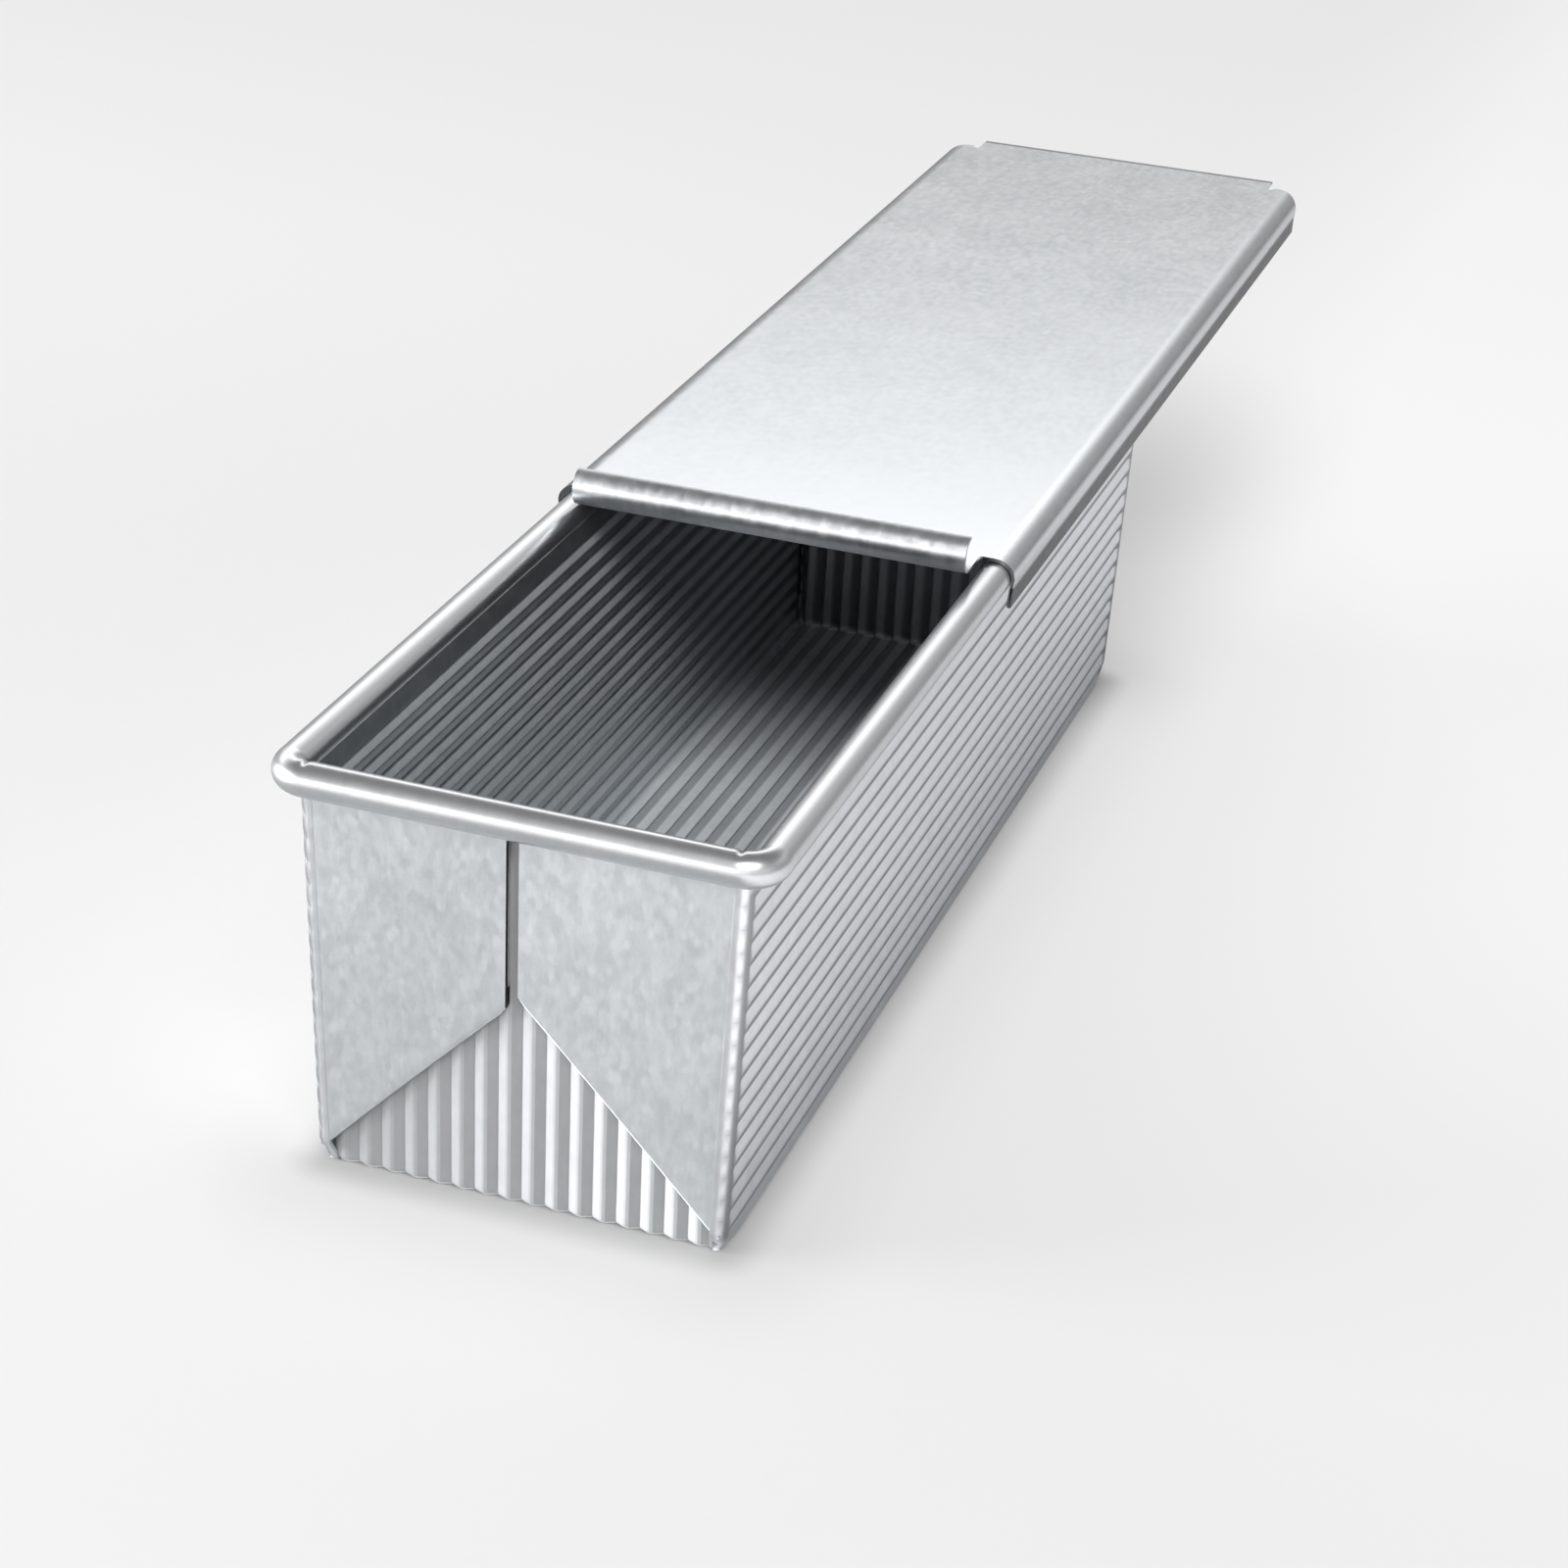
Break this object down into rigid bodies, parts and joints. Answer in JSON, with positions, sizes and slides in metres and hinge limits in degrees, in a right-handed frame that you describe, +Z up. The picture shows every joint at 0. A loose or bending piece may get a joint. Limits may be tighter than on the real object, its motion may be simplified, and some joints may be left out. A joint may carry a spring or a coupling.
{
  "type": "pullman loaf pan",
  "caption": "Long straight-sided loaf pan of folded ribbed sheet with a wired rim roll and a flat lid that slides along the rim.",
  "frame": {"origin": "middle of the base, on the surface that the pan stands on", "axes": "+X across the pan, +Y along it towards the end to which the lid is slid back, +Z up"},
  "size_m": [0.123, 0.5273, 0.1121],
  "materials": {
    "pan_sheet": "satin",
    "lid_sheet": "satin",
    "rim_wire": "drawn"
  },
  "bodies": {
    "pan": {"floor_panel": "pan_sheet", "left_bottom_bend": "pan_sheet", "right_bottom_bend": "pan_sheet", "front_bottom_bend": "pan_sheet", "rear_bottom_bend": "pan_sheet", "left_side_panel": "pan_sheet", "right_side_panel": "pan_sheet", "front_end_panel": "pan_sheet", "rear_end_panel": "pan_sheet", "front_left_ear": "pan_sheet", "front_right_ear": "pan_sheet", "rear_left_ear": "pan_sheet", "rear_right_ear": "pan_sheet", "left_rim_roll": "pan_sheet", "right_rim_roll": "pan_sheet", "front_rim_roll": "pan_sheet", "rear_rim_roll": "pan_sheet", "rim_wire": "rim_wire"},
    "lid": {"lid_plate": "lid_sheet", "lid_left_channel": "lid_sheet", "lid_right_channel": "lid_sheet", "lid_front_curl": "lid_sheet"}
  },
  "joints": [
    {"name": "lid_slide", "type": "slide", "parent": "pan", "child": "lid", "axis": [0, 1, 0], "range_m": [-0.1734, 0.18]}
  ]
}
